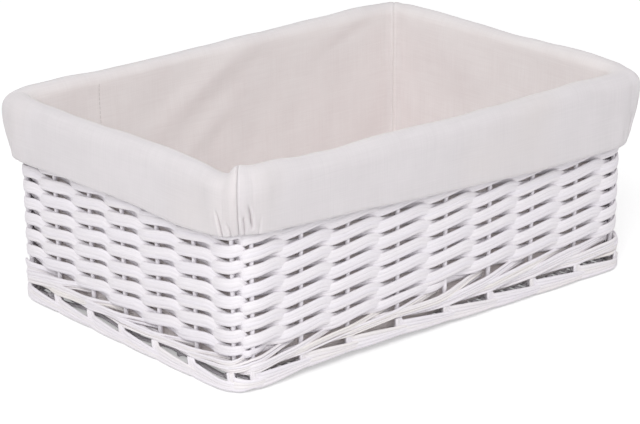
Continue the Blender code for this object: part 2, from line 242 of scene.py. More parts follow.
# %% Nodes and finishes
class NodeTree:
    """Short ways to add nodes to a material's or the world's tree."""

    def __init__(self, tree):
        self.tree = tree

    def feed(self, slot, item):
        if isinstance(item, Value):
            self.tree.links.new(item.socket, slot)
        else:
            slot.default_value = item

    def node(self, kind, inputs=(), **settings):
        """Adds a node, sets it, feeds its sockets by name or in their order, and gives its outputs."""
        made = self.tree.nodes.new("ShaderNode" + kind)
        for key, setting in settings.items():
            setattr(made, key, setting)
        slots = [slot for slot in made.inputs if slot.enabled]
        if isinstance(inputs, dict):
            slots = [next(slot for slot in slots if slot.name == key) for key in inputs]
            inputs = inputs.values()
        for slot, item in zip(slots, inputs):
            self.feed(slot, item)
        return {out.name: Value(self, out) for out in made.outputs if out.enabled}

    def mix(self, share, first, second):
        """A colour between two colours."""
        inputs = {"Factor": share, "A": first, "B": second}
        return self.node("Mix", inputs, data_type="RGBA")["Result"]

    def seen_rays(self):
        """1 for the rays that show the background itself, straight or by way of gloss or glass."""
        rays = self.node("LightPath")
        return (rays["Is Camera Ray"] + rays["Is Glossy Ray"] + rays["Is Transmission Ray"]).band(0, 1)


class Finish(NodeTree):
    """A material with a Principled shader, and the patterns that the finishes share."""

    def __init__(self, name):
        self.material = bpy.data.materials.new(name)
        self.material.use_nodes = True
        super().__init__(self.material.node_tree)
        self.shader = self.tree.nodes["Principled BSDF"]

    def uv(self, name):
        return self.node("UVMap", uv_map=name)["UV"]

    def split(self, place):
        return self.node("SeparateXYZ", (place,))

    def noise(self, place, scale, detail, roughness=0.5):
        inputs = {"Vector": place, "Scale": scale, "Detail": detail, "Roughness": roughness}
        return self.node("TexNoise", inputs)["Fac"]

    def stretched(self, place, scale):
        """The same coordinates, drawn out by unlike amounts."""
        return self.node("Mapping", {"Vector": place, "Scale": scale})["Vector"]

    def ribs(self, distance, pitch):
        """Even waves from -1 to 1, one for each pitch of the distance."""
        return (distance * (2 * math.pi / pitch)).math("SINE")

    def bump(self, height, strength, distance):
        inputs = {"Height": height, "Strength": strength, "Distance": distance}
        self.feed(self.shader.inputs["Normal"], self.node("Bump", inputs)["Normal"])

    def set(self, **sockets):
        for key, item in sockets.items():
            self.feed(self.shader.inputs[key.replace("_", " ")], item)


# %% [markdown]
# ## Painted willow
#
# The rods are peeled willow under a thin coat of cool white paint. The paint lies in streaks along
# the rod, lets the cream wood through on some ridges, and differs a little from rod to rod. Where
# the streaks lie low, in the hollows of the bump, the white is greyer: painted shade. The streaks
# have to follow each rod round the basket, so they read the rod's own UV map, in metres along and
# round it, and each rod has its own tone, kept as an attribute.

# %% Painted willow
SHADED_WHITE = (0.835, 0.80, 0.85, 1)
BRIGHT_WHITE = (0.88, 0.845, 0.885, 1)
# A greyer white where the paint streaks lie low, in the hollows of the bump: painted shade.
PAINTED_SHADE_WHITE = (0.80, 0.768, 0.812, 1)
BARE_WOOD = (0.83, 0.79, 0.72, 1)
WORN_WOOD = (0.83, 0.79, 0.73, 1)
STREAK_SCALE = (60, 1400, 1)
FIBRE_SCALE = (220, 5200, 1)
PATCH_SCALE = 55.0
PAINT_RELIEF = 0.0005


def painted_willow():
    finish = Finish("painted_willow")
    uv = finish.uv("rod_uv")
    tone = finish.node("Attribute", attribute_name="tone")["Fac"]
    bare = finish.node("Attribute", attribute_name="bare")["Fac"]
    place = finish.node("TexCoord")["Object"]
    streaks = finish.noise(finish.stretched(uv, STREAK_SCALE), 1.0, 4.0, 0.6)
    fibres = finish.noise(finish.stretched(uv, FIBRE_SCALE), 1.0, 2.0)
    patches = finish.noise(place, PATCH_SCALE, 2.0)
    white = finish.mix(tone, SHADED_WHITE, BRIGHT_WHITE)
    # The streaks' hollows take the greyer white: painted shade.
    painted_shade_streaks = finish.mix(streaks.band(0.40, 0.60), PAINTED_SHADE_WHITE, white)
    worn = streaks.band(0.60, 0.76) * patches.band(0.50, 0.66)
    thin = finish.mix(bare * (0.45 + streaks * 0.5), painted_shade_streaks, BARE_WOOD)
    colour = finish.mix(worn * 0.35, thin, WORN_WOOD)
    finish.set(Base_Color=colour, Roughness=0.42 + streaks * 0.25)
    finish.bump(streaks * 0.7 + fibres * 0.3, 0.28, PAINT_RELIEF)
    return finish.material


WILLOW = painted_willow()
print("willow finish nodes:", len(WILLOW.node_tree.nodes))

# %% [markdown]
# ## Cotton and elastic
#
# The liner is plain-woven, washed cotton: threads a little over half a millimetre apart, some thicker
# than others, and a soft mottle. The weave follows the cloth, so it reads the panel's UV map in
# metres. Some light comes through the thin cloth, which a little subsurface scattering gives.

# %% Cotton
THREAD_PITCH = 0.00065
SLUB_ACROSS_SCALE = (18, 900, 1)
SLUB_ALONG_SCALE = (900, 18, 1)
MOTTLE_SCALE = 26.0
WARMTH_SCALE = 7.0
# The inside of the liner gets a brighter, warmer cotton than the flap, and so does the back of the inner
# wall that shows through the gaps of the weave: painted light, for the light that reaches the inside.
INSIDE_COTTON_PAINTED_LIGHT = ((0.845, 0.780, 0.775, 1), (0.91, 0.855, 0.848, 1))
OUTSIDE_COTTON = ((0.712, 0.674, 0.694, 1), (0.765, 0.725, 0.746, 1))
AGED_COTTON = (0.748, 0.694, 0.686, 1)
CLOTH_RELIEF = 0.0005
CLOTH_GLOW_DEPTH = 0.0025

# Metres up the cloth where the brighter, warmer inside colour, which is painted light, goes over to the
# flap's own colour.
PAINTED_LIGHT_END = 0.172
OUTSIDE_START = 0.186


def cotton():
    finish = Finish("cotton")
    uv = finish.uv("cloth_uv")
    split = finish.split(uv)
    weave = finish.ribs(split["X"], THREAD_PITCH) * finish.ribs(split["Y"], THREAD_PITCH)
    slubs_across = finish.noise(finish.stretched(uv, SLUB_ACROSS_SCALE), 1.0, 3.0, 0.6)
    slubs_along = finish.noise(finish.stretched(uv, SLUB_ALONG_SCALE), 1.0, 3.0, 0.6)
    mottle = finish.noise(uv, MOTTLE_SCALE, 3.0, 0.6)
    warmth = finish.noise(uv, WARMTH_SCALE, 2.0)
    slubs = slubs_across + slubs_along - 1
    patch = (mottle * 0.7 + slubs * 0.7 + 0.15).band(0.25, 0.75)
    # The inside's brighter, warmer cotton is painted light.
    inside_painted_light = finish.mix(patch, *INSIDE_COTTON_PAINTED_LIGHT)
    outside = finish.mix(patch, *OUTSIDE_COTTON)
    aged = finish.mix(warmth.band(0.52, 0.72) * 0.5, outside, AGED_COTTON)
    colour = finish.mix(split["Y"].band(PAINTED_LIGHT_END, OUTSIDE_START), inside_painted_light, aged)
    finish.set(Base_Color=colour, Roughness=0.9)
    finish.set(Subsurface_Weight=0.7, Subsurface_Radius=(1, 1, 1), Subsurface_Scale=CLOTH_GLOW_DEPTH)
    finish.bump(weave * 0.25 + slubs * 0.5 + mottle * 0.5, 0.40, CLOTH_RELIEF)
    return finish.material


COTTON = cotton()
print("cotton threads per centimetre:", round(0.01 / THREAD_PITCH, 1))

# %% Sewing thread and elastic
TWIST_PITCH = 0.0006
TWIST_RELIEF = 0.0001
# The two colours of the thread and of the elastic are a rib's painted shade in its groove and its painted
# highlight on its crest.
THREAD_SHADE_AND_HIGHLIGHT = ((0.60, 0.555, 0.55, 1), (0.69, 0.64, 0.635, 1))
ELASTIC_PITCH = 0.0011
ELASTIC_RELIEF = 0.0003
ELASTIC_SHADE_AND_HIGHLIGHT = ((0.62, 0.61, 0.60, 1), (0.78, 0.77, 0.76, 1))


def ribbed(name, pitch, twist, shade_and_highlight, roughness, strength, relief):
    """Fine ribs across a strand, which wind round it where it has a twist. The colour is darker in
    the grooves of the ribs and lighter on their crests: painted shade and painted highlight.
    """
    finish = Finish(name)
    split = finish.split(finish.uv("rod_uv"))
    ribs = finish.ribs(split["X"] + split["Y"] * twist, pitch)
    # Darker in the grooves and lighter on the crests: painted shade and highlight of the ribs.
    finish.set(Base_Color=finish.mix(ribs * 0.5 + 0.5, *shade_and_highlight), Roughness=roughness)
    finish.bump(ribs, strength, relief)
    return finish.material


THREAD = ribbed("sewing_thread", TWIST_PITCH, 1, THREAD_SHADE_AND_HIGHLIGHT, 0.7, 0.4, TWIST_RELIEF)
ELASTIC = ribbed("elastic_web", ELASTIC_PITCH, 0, ELASTIC_SHADE_AND_HIGHLIGHT, 0.85, 0.5, ELASTIC_RELIEF)
print("more finishes:", THREAD.name, ELASTIC.name)

# %% [markdown]
# ## Rods
#
# A willow rod could be a curve with a round bevel. Here it is a flat grid rolled up into a tube and
# welded along its seam, because then each point can have its own width and thickness, as a rod
# that is squeezed under its neighbours has, and the grid's own UV map follows the rod.

# %% Roll a grid into a rod
ROD_SIDES = 8
PATTERN_ROOM = 40
WELD_DISTANCE = 1e-6
seed = np.random.default_rng(7)


def wander(count, every, size):
    """Smooth chance differences along a rod: new ones every so many points."""
    knots = seed.normal(0, size, count // every + 3)
    return np.interp(np.arange(count) / every, np.arange(len(knots)), knots)


def add_rod(bundle, points, outward, tall, thick, sides=ROD_SIDES, bareness=0.0, closed=False):
    """Adds one rod to a bmesh: tall along the wall, thick across it, at each point."""
    count = len(points)
    tangent = np.gradient(points, axis=0)
    if closed:
        tangent[0] = tangent[-1] = points[1] - points[-2]
    tangent /= np.linalg.norm(tangent, axis=1)[:, None]
    across = outward - tangent * np.sum(outward * tangent, axis=1)[:, None]
    across /= np.linalg.norm(across, axis=1)[:, None]
    upward = np.cross(across, tangent)
    walked = np.concatenate([[0], np.cumsum(np.linalg.norm(np.diff(points, axis=0), axis=1))])
    start = seed.uniform(0, PATTERN_ROOM)
    tone = seed.uniform(0, 1)
    bare = bareness * seed.uniform(0, 1) ** 2
    tall, thick = np.broadcast_to(tall, count), np.broadcast_to(thick, count)
    uv_layer = bundle.loops.layers.uv["rod_uv"]
    tone_layer = bundle.verts.layers.float["tone"]
    bare_layer = bundle.verts.layers.float["bare"]
    grid = bmesh.ops.create_grid(bundle, x_segments=count - 1, y_segments=sides, size=1)["verts"]
    girth = float(np.mean(tall) + np.mean(thick)) * math.pi / 2
    faces = set()
    for vertex in grid:
        step = round((vertex.co.x + 1) / 2 * (count - 1))
        side = round((vertex.co.y + 1) / 2 * sides)
        angle = 2 * math.pi * side / sides
        place = points[step] + across[step] * (math.cos(angle) * thick[step] / 2)
        place = place + upward[step] * (math.sin(angle) * tall[step] / 2)
        vertex.co = place
        vertex[tone_layer] = tone
        vertex[bare_layer] = bare
        for loop in vertex.link_loops:
            loop[uv_layer].uv = (start + walked[step], girth * side / sides)
            faces.add(loop.face)
    bmesh.ops.remove_doubles(bundle, verts=grid, dist=WELD_DISTANCE)
    rims = [edge for edge in {e for f in faces for e in f.edges} if edge.is_boundary]
    bmesh.ops.holes_fill(bundle, edges=rims, sides=0)


# %% Make a piece
def new_bundle():
    bundle = bmesh.new()
    bundle.loops.layers.uv.new("rod_uv")
    bundle.verts.layers.float.new("tone")
    bundle.verts.layers.float.new("bare")
    return bundle


def make_object(shape, name, material):
    """Turns a bmesh into a smooth object of the scene."""
    mesh = bpy.data.meshes.new(name)
    shape.to_mesh(mesh)
    shape.free()
    mesh.shade_smooth()
    mesh.materials.append(material)
    made = bpy.data.objects.new(name, mesh)
    bpy.context.scene.collection.objects.link(made)
    print(name, "faces:", len(mesh.polygons))
    return made


def make_piece(shape, name, nodes, material, body):
    """Makes a bmesh one piece, which rides on a body and stands for the named nodes."""
    piece = make_object(shape, name, material)
    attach(piece, body)
    if nodes:
        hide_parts(*nodes)
    return piece


def finish_bundle(bundle, name, *nodes, material=WILLOW, body="basket", slot="painted_willow"):
    """Makes a bundle of rods one piece, with its faces pointing out."""
    bmesh.ops.recalc_face_normals(bundle, faces=bundle.faces)
    make_piece(bundle, name, nodes, material, body)


# %% [markdown]
# ## Stakes
#
# The stakes are the upright rods that everything is woven round. Each is nearly straight and a
# little thinner at its tip, so each is one rod along the wall, with a slight lean of its own.

# %% Stakes
STAKE_STEPS = 14
STAKE_INTO_RIM = 0.004
STAKE_LEAN = 0.004
STAKE_FOOT_SHARE = 1.04
STAKE_TAPER_SHARE = 0.1


def add_stake(stake):
    heights = np.linspace(BORDER_TOP, RIM_BOTTOM + STAKE_INTO_RIM, STAKE_STEPS)
    lean = wander(STAKE_STEPS, 5, STAKE_LEAN)
    points, ways = wall(stake + lean, heights, 0.0)
    width = 2 * STAKE_RADIUS * (STAKE_FOOT_SHARE - STAKE_TAPER_SHARE * np.linspace(0, 1, STAKE_STEPS))
    bundle = new_bundle()
    add_rod(bundle, points, ways, width, width)
    finish_bundle(bundle, f"stake_rod_{stake + 1:02d}", f"stake_{stake + 1:02d}")


for stake in range(STATIONS):
    add_stake(stake)

# %% [markdown]
# ## Siding
#
# The siding is pairing: two strands twist round each other, and hold a stake in every half turn. A
# strand is three thin rods side by side. In front of a stake they spread to a flat band that slants
# up to the right. Where the strands cross, the front one's tail lies over the next one's head, and
# behind a stake they run lower, so only a slim gap stays open on each side of a stake. Four pairs
# were started round the basket, so the rows climb to the left as one four-threaded screw, and each
# pair starts thin.

# %% Siding sizes
SIDING_RODS = 3
ROD_TALL = 0.0056
ROD_THICK = 0.0026
ROD_GAP = 0.0028
THIN_ROD_SHARE = 0.4
SIDING_DEPTH = 0.0034
SIDING_LIFT = 0.0037
STEPS_PER_SPAN = 12
PAIR_COUNT = 4
FIRST_PAIR_STATION = 3.5
STATIONS_PER_PITCH = STATIONS / PAIR_COUNT
STRAND_SPANS = 65
TAPER_SPANS = 2.5
TAPER_LEAST = 0.35
TUCK_SPANS = 0.4
TUCK_LEAD = 0.1

# Chance differences of a row, of a rod in it and of a rod's height, and how far the outer rods lie back.
ROW_WANDER = 0.0003
ROD_WANDER = 0.00014
ROD_TALL_WANDER = 0.05
OUTER_ROD_BACK = 0.00025

# Where each pair of the real basket starts: the last one starts a few stakes further round.
PAIR_STARTS = [4.3, 11.5, 19.5, 32.4]

# A strand between two crossings, by its phase: 0 in front of a stake, -1 and 1 behind its neighbours.
LIFT_PHASE = [-1, -0.83, -0.6, -0.5, -0.42, 0, 0.3, 0.42, 0.5, 0.6, 0.7, 0.8, 0.9, 1]
FRONT_LIFT = [-0.8, -0.88, -1, -1.05, -1, 0, 0.75, 1, 0.9, 0.35, -0.25, -0.6, -0.75, -0.8]
SWING_PHASE = [-1, -0.8, -0.65, -0.5, -0.42, -0.3, 0, 0.3, 0.5, 0.6, 0.7, 0.8, 0.9, 1]
FRONT_SWING = [-1, -0.9, -0.65, 0.1, 0.5, 0.9, 1, 1, 0.66, 0.4, 0.05, -0.45, -0.9, -1]


# %% Weave the siding
def pair_height(pair, stations):
    """Height of the middle of a pair's row on its even climb."""
    first = FIRST_PAIR_STATION + pair * STATIONS_PER_PITCH
    return PAIR_START + PAIR_PITCH / STATIONS_PER_PITCH * (first - stations)


def grown(past):
    """How much of its full width a pair has, so many stations past its start."""
    return np.clip(TAPER_LEAST + (1 - TAPER_LEAST) * past / TAPER_SPANS, TAPER_LEAST, 1)


def strand_curve(phase, phases, values):
    """A strand's value at each phase, with the table's corners softened."""
    rough = np.pad(np.interp(phase, phases, values), 1, mode="edge")
    return np.convolve(rough, np.ones(3) / 3, "valid")


def add_strand(name, pair, half_turn, node):
    start = PAIR_STARTS[pair]
    end = FIRST_PAIR_STATION + pair * STATIONS_PER_PITCH - STRAND_SPANS
    stations = np.arange(start + TUCK_SPANS, end - TUCK_SPANS, -1 / STEPS_PER_SPAN)
    count = len(stations)
    phase = np.mod(stations + half_turn + 1, 2) - 1
    full = grown(start - stations)
    tucked = np.clip((start - TUCK_LEAD - stations) / TUCK_SPANS, 0, 1)
    depths = SIDING_DEPTH * (strand_curve(phase, SWING_PHASE, FRONT_SWING) * tucked - (1 - tucked))
    middle = pair_height(pair, stations) + (1 - full) * PAIR_PITCH / 2 + row_drift(stations)
    middle = middle + full * SIDING_LIFT * strand_curve(phase, LIFT_PHASE, FRONT_LIFT)
    middle = middle + wander(count, STEPS_PER_SPAN, ROW_WANDER)
    bundle = new_bundle()
    for rod in range(SIDING_RODS):
        place = rod - (SIDING_RODS - 1) / 2
        heights = middle + place * ROD_GAP * full + wander(count, 6, ROD_WANDER)
        press = wander(count, 8, ROD_WANDER) - OUTER_ROD_BACK * abs(place)
        points, ways = wall(stations, heights, depths + press)
        tall = ROD_TALL * (THIN_ROD_SHARE + (1 - THIN_ROD_SHARE) * full)
        tall = tall * (1 + wander(count, 9, ROD_TALL_WANDER))
        add_rod(bundle, points, ways, tall, ROD_THICK, bareness=0.2)
    finish_bundle(bundle, name, node)


for pair in range(PAIR_COUNT):
    for half_turn, letter in ((0, "a"), (1, "b")):
        add_strand(f"siding_strand_{pair + 1}{letter}", pair, half_turn, f"siding_{pair + 1}{letter}")

# %% [markdown]
# ## Wale
#
# Below the siding, bundles of thin rods fill the space down to the foot border. Each comes out from
# behind a stake, passes in front of two and goes in behind the next, rising a little to the right,
# so two bundles lie over each other in front of every stake. They fill the wall up to the lowest
# pair, which is low where a pair has just started.

# %% The unevenness of the foot
# The foot's front edge stands a few millimetres off the ground, so the wale starts higher there.
foot_rise = ring_curve([
    (0, 0.0008), (0.5, 0.0032), (1, 0.0054), (2, 0.0058), (3, 0.0052), (4, 0.0032), (5, 0.0014),
    (6, 0.0010), (7.5, 0.0006), (8.5, 0.0), (20, 0.0), (31.4, 0.0),
], 0.25)

# The foot stands a little further out along the left side and at the front's right end.
foot_out = ring_curve([
    (0, 0.0010), (1, 0.0), (4, 0.0), (6, 0.0016), (7.5, 0.0030), (8.5, 0.0022), (10, 0.0), (24.5, 0.0),
    (26, 0.0016), (28, 0.0038), (30, 0.0048), (31.2, 0.0046),
], 0.25)

# %% Wale
WALE_STRANDS = 3
WALE_RODS = 4
WALE_STEPS = 40
WALE_LOW = 0.0137
WALE_DEPTH = 0.0036
WALE_ROD_GAP = 0.0021
WALE_ROD_TALL = 0.0029
WALE_ROD_THICK = 0.0025
WALE_ROOM = 0.0010
WALE_OVER_PAIR = 0.0008
WALE_LEAST_HEIGHT = 0.0014
WALE_ROD_LEAN = 0.0003
WALE_ALONG = [-0.45, 0, 0.5, 1, 2, 2.5, 2.9]
WALE_SWING = [-1, -1, 0.1, 1, 1, 0.1, -1]
WALE_RISE_ALONG = [-0.45, 0.4, 1.0, 2.5, 2.9]
WALE_RISE = [-0.05, 0.0, 0.14, 0.92, 1.0]

# Rods have their full size where the wale is this high, shrink or swell with it within these shares,
# and are drawn together behind a stake.
WALE_FULL_HEIGHT = 0.019
WALE_LEAST_SHARE = 0.55
WALE_MOST_SHARE = 1.25
WALE_BEHIND_SHARE = 0.75

# Chance differences of a bundle's height, and of a rod's height, depth and width.
WALE_WANDER = 0.0014
WALE_ROD_WANDER = 0.0004
WALE_DEPTH_WANDER = 0.00025
WALE_TALL_WANDER = 0.07


def pair_edge(stations):
    """Height of the lowest pair's lower edge."""
    edges = []
    for pair, start in enumerate(PAIR_STARTS):
        past = np.mod(start - stations, STATIONS)
        edges.append(pair_height(pair, start - past) + (0.5 - grown(past)) * PAIR_PITCH)
    return np.min(edges, axis=0) + row_drift(stations)


edge_stations = np.arange(0, STATIONS, 0.25)
wale_top = ring_curve(list(zip(edge_stations, pair_edge(edge_stations))), 0.45)


# %% Lay the wale
def add_wale_bundle(bundle, stake):
    along = np.linspace(WALE_ALONG[0], WALE_ALONG[-1], WALE_STEPS)
    stations = stake + along
    swing = np.interp(along, WALE_ALONG, WALE_SWING)
    shown = np.clip(swing, 0, 1)
    rise = np.interp(along, WALE_RISE_ALONG, WALE_RISE)
    top = wale_top(stations) + WALE_OVER_PAIR
    bottom = WALE_LOW + foot_rise(stations)
    full = np.clip((top - bottom) / WALE_FULL_HEIGHT, WALE_LEAST_SHARE, WALE_MOST_SHARE)
    spread = (WALE_BEHIND_SHARE + (1 - WALE_BEHIND_SHARE) * shown) * full
    gap = WALE_ROD_GAP * spread
    half = (WALE_RODS - 1) / 2
    low = bottom + half * (gap + WALE_ROOM)
    high = top - half * (gap + WALE_ROOM)
    middle = low + (high - low) * rise + wander(WALE_STEPS, 13, WALE_WANDER)
    for rod in range(WALE_RODS):
        heights = middle + (rod - half) * gap + wander(WALE_STEPS, 8, WALE_ROD_WANDER)
        heights = np.maximum(heights, bottom + WALE_LEAST_HEIGHT)
        depths = swing * WALE_DEPTH + WALE_ROD_LEAN * rod * shown + foot_out(stations) / 2
        depths = depths + wander(WALE_STEPS, 9, WALE_DEPTH_WANDER)
        points, ways = wall(stations, heights, depths)
        tall = WALE_ROD_TALL * spread * (1 + wander(WALE_STEPS, 9, WALE_TALL_WANDER))
        add_rod(bundle, points, ways, tall, WALE_ROD_THICK, bareness=0.8)


for strand in range(WALE_STRANDS):
    bundle = new_bundle()
    for stake in range(strand, STATIONS, WALE_STRANDS):
        add_wale_bundle(bundle, stake)
    finish_bundle(bundle, f"wale_rods_{strand + 1}", f"wale_{strand + 1}")

# %% [markdown]
# ## Foot border
#
# At the foot, each stake's lower end comes down the stake as four thin rods, which bend to the right
# one below the other. They fan out over the whole edge there and close up to a narrow band, which
# passes in front of the next stake and is tucked in behind the next fan. Between the band and the
# wale a dark triangle opens, and under it a thin wedge of shadow.

# %% Foot border sizes
LEAF_RODS = 4
LEAF_TOP = 0.0170
LEAF_BEND = 0.080
LEAF_BEND_SHARES = np.array((0, 0.03, 0.08, 0.16, 0.27, 0.42, 0.62, 0.85, 1.1))
LEAF_LEVEL_START = 0.13
LEAF_LEVEL_STEPS = 30
LEAF_STAGGER = 0.030
LEAF_ALONG = [0, 0.1, 0.5, 1.0, 1.3, 1.5, 1.7, 2.0]
LEAF_HEIGHT = [0.0072, 0.0072, 0.0066, 0.0056, 0.0050, 0.0045, 0.0042, 0.0040]
LEAF_GAP = [0.0031, 0.0031, 0.0026, 0.0018, 0.0015, 0.0012, 0.0012, 0.0012]
LEAF_TALL = [0.0040, 0.0044, 0.0040, 0.0030, 0.0026, 0.0022, 0.0020, 0.0020]
LEAF_DEPTH = [0.0010, 0.0030, 0.0042, 0.0038, 0.0020, 0.0002, -0.0015, -0.0035]
LEAF_THICK = 0.0026
LEAF_STACK = 0.0004
LEAF_UPRIGHT_SHARE = 0.65
LEAF_WANDER = 0.0002
LEAF_DEPTH_WANDER = 0.00012
OFF_GROUND = 0.0002

# Two rods run round inside the leaves: the height and depth of each.
FOOT_RINGS = ((0.0019, -0.0020), (0.0048, -0.0026))
RING_STEPS = 260
RING_TALL = 0.0034
RING_THICK = 0.0030
RING_WANDER = 0.00015


# %% Lay the foot border
def eased(x, xs, ys):
    """A smooth curve through a few given values."""
    fine = np.linspace(xs[0], xs[-1], 60)
    rough = np.interp(fine, xs, ys)
    soft = np.convolve(np.pad(rough, 3, mode="edge"), np.ones(7) / 7, mode="valid")
    return np.interp(x, fine, soft)


def add_leaf(bundle, stake):
    level = np.linspace(LEAF_LEVEL_START, LEAF_ALONG[-1], LEAF_LEVEL_STEPS)
    along = np.concatenate([LEAF_BEND * LEAF_BEND_SHARES, level])
    count = len(along)
    curves = (LEAF_HEIGHT, LEAF_GAP, LEAF_TALL, LEAF_DEPTH)
    middle, gap, tall, depths = (eased(along, LEAF_ALONG, curve) for curve in curves)
    down = np.clip(along / LEAF_BEND, 0, 1)
    above = 1 - np.sqrt(1 - (1 - down) ** 2)
    for rod in range(LEAF_RODS):
        place = rod - (LEAF_RODS - 1) / 2
        heights = middle + place * gap + wander(count, 10, LEAF_WANDER)
        heights = heights + (LEAF_TOP - heights) * above
        beside = stake + along + LEAF_STAGGER * place * (1 - along / LEAF_ALONG[-1])
        heights = np.maximum(heights, tall / 2 + OFF_GROUND) + foot_rise(beside)
        stack = LEAF_STACK * (LEAF_RODS - 1 - rod) * above + wander(count, 10, LEAF_DEPTH_WANDER)
        points, ways = wall(beside, heights, depths + stack + foot_out(beside))
        narrowed = tall * (1 - (1 - LEAF_UPRIGHT_SHARE) * above)
        add_rod(bundle, points, ways, narrowed, LEAF_THICK, bareness=0.5)


foot = new_bundle()
for stake in range(STATIONS):
    add_leaf(foot, stake)
around = np.linspace(0, STATIONS, RING_STEPS)
for height, depth in FOOT_RINGS:
    heights = height + foot_rise(around) + wander(RING_STEPS, 10, RING_WANDER)
    points, ways = wall(around, heights, depth + foot_out(around))
    points[-1] = points[0]
    add_rod(foot, points, ways, RING_TALL, RING_THICK, bareness=1.0, closed=True)
finish_bundle(foot, "foot_border_plait", "foot_border")

# %% [markdown]
# ## Rim border
#
# The top edge is finished in the same way, with the stakes bent over to the right and down to the
# inside. The liner hides it, so it shows only when the liner is lifted off.

# %% Rim border
RIM_ALONG = [0, 0.15, 0.6, 1.1, 1.6, 2.1, 2.5]
RIM_HEIGHT = [0.162, 0.1690, 0.1745, 0.1785, 0.1800, 0.177, 0.172]
RIM_DEPTH = [0.0, 0.0022, 0.0034, 0.0024, -0.0006, -0.0030, -0.0034]
RIM_STEPS = 26
RIM_RODS = 3
RIM_ROD_GAP = 0.0026
RIM_ROD_TALL = 0.0031
RIM_ROD_THICK = 0.0028

rim = new_bundle()
for stake in range(STATIONS):
    along = np.linspace(0, RIM_ALONG[-1], RIM_STEPS)
    heights = eased(along, RIM_ALONG, RIM_HEIGHT)
    depths = eased(along, RIM_ALONG, RIM_DEPTH)
    for rod in range(RIM_RODS):
        lift = (rod - (RIM_RODS - 1) / 2) * RIM_ROD_GAP
        points, ways = wall(stake + along, heights + lift, depths)
        add_rod(rim, points, ways, RIM_ROD_TALL, RIM_ROD_THICK)
finish_bundle(rim, "rim_border_plait", "rim_border")

# %% [markdown]
# ## Base
#
# The base is woven on five sticks: flattened rods run across, over and under the sticks in turn.

# %% Base
BASE_MIDDLE = 0.00575
BASE_REACH_X = 0.2176
BASE_REACH_Y = 0.1461
BASE_CORNER = 0.0170
BASE_WANDER = 0.0003
WEAVE_ROWS = 84
WEAVE_STEPS = 41
WEAVE_LIFT = 0.0023
WEAVE_WIDE = 0.0054
WEAVE_THICK = 0.0024
STICKS = 5
STICK_STEPS = 12
STICK_SPREAD = 0.1233
STICK_SPACING = 2 * STICK_SPREAD / (STICKS - 1)
STICK_WIDE = 0.0048
STICK_THICK = 0.0044
UPWARD = np.array([(0.0, 0.0, 1.0)])

weave = new_bundle()
for row in range(WEAVE_ROWS):
    across = np.linspace(-BASE_REACH_Y, BASE_REACH_Y, WEAVE_STEPS)
    side = 1 if row % 2 else -1
    lift = side * WEAVE_LIFT * np.cos(np.pi * across / STICK_SPACING)
    place = BASE_REACH_X * (2 * (row + 0.5) / WEAVE_ROWS - 1)
    past = max(abs(place) - (BASE_REACH_X - BASE_CORNER), 0)
    across *= 1 - (BASE_CORNER - math.sqrt(BASE_CORNER ** 2 - past ** 2)) / BASE_REACH_Y
    lengthwise = place + wander(WEAVE_STEPS, 10, BASE_WANDER)
    points = np.stack([lengthwise, across, BASE_MIDDLE + lift], axis=1)
    add_rod(weave, points, UPWARD, WEAVE_WIDE, WEAVE_THICK, sides=6)
finish_bundle(weave, "base_weave_rods", "base_weave")

for stick in range(STICKS):
    place = STICK_SPACING * stick - STICK_SPREAD
    along = np.linspace(-BASE_REACH_X, BASE_REACH_X, STICK_STEPS)
    across = place + wander(STICK_STEPS, 4, BASE_WANDER)
    points = np.stack([along, across, np.full(STICK_STEPS, BASE_MIDDLE)], axis=1)
    bundle = new_bundle()
    add_rod(bundle, points, UPWARD, STICK_WIDE, STICK_THICK)
    finish_bundle(bundle, f"base_stick_rod_{stick + 1}", f"base_stick_{stick + 1}")

# %% [markdown]
# ## Liner
#
# The liner is four side panels and a floor. Each side panel is one piece of cloth: up the inside of
# the wall, over the rim in a soft roll, and down outside to a hem with an elastic in it. A cloth
# simulation could drape it, but this cloth is held all round by the rim and the elastic, so there
# is little left for gravity to decide. Each panel is a grid laid on its path and then
# lifted towards the side that shows: broad soft waves, the folds that the real liner has, and the
# gathers that the elastic draws at the corners.

# %% The cloth's path over the rim
CLOTH = 0.0012
CREST_DROP = 0.0018
CREST = LINER_TOP - CLOTH / 2 - CREST_DROP
ROLL_START = 0.180
FLAP_TOP = 0.174
WALL_DEPTH = -0.0068
FLAP_REACH = 0.01364
CORNER_BULGE = 0.0100
CORNER_TUCK = 0.0018
BULGE_SPREAD = 0.55
HEM_TURN = 0.012
HEM_STEP = 0.0024
HEM_SHARES = (0.1, 0.55, 1.0)
WALL_ROWS = 36
ROLL_ROWS = 14
FLAP_ROWS = 22

# The hem hangs lowest at the front right corner, and is drawn up at the front left one.
hem_height = ring_curve([
    (0, 0.1380), (1, 0.1357), (2, 0.1330), (3.5, 0.1270), (6, 0.1200), (8.5, 0.1185), (12, 0.1260),
    (15.5, 0.1320), (20, 0.1335), (24.3, 0.1325), (25.5, 0.1318), (26.5, 0.1338), (28.5, 0.1340),
    (29.9, 0.1310), (31, 0.1355), (31.6, 0.1380),
], 0.15)

# The rim's top line, above or below an even roll: highest over the front left seam.
rim_rise = ring_curve([
    (0.0, 0.0046), (0.25, 0.0046), (0.5, 0.0050), (1.0, 0.0016), (1.6, 0.0), (2.9, -0.0006),
    (4.4, -0.0025), (7.7, -0.0026),
    (9.0, -0.0017), (9.6, 0.0006), (10.5, 0.0015), (11.8, 0.0003), (13.2, 0.0009), (14.3, 0.0009),
    (15.0, -0.0002), (16.8, 0.0013), (18.0, 0.0006), (20.7, 0.0), (22.0, -0.0008), (23.2, 0.0012),
    (24.9, 0.0005), (25.7, -0.0011), (27.4, -0.0004), (29.1, 0.0002), (30.2, 0.0), (30.6, -0.0008),
    (30.85, -0.0018), (31.07, -0.0014), (31.25, 0.0034), (31.5, 0.0060), (31.8, 0.0052),
], 0.07)


def corner_out(share):
    """How far the flap stands out at a corner, at a share of the way up from its hem."""
    return CORNER_BULGE * (1 - (1 - share) ** 2) - CORNER_TUCK


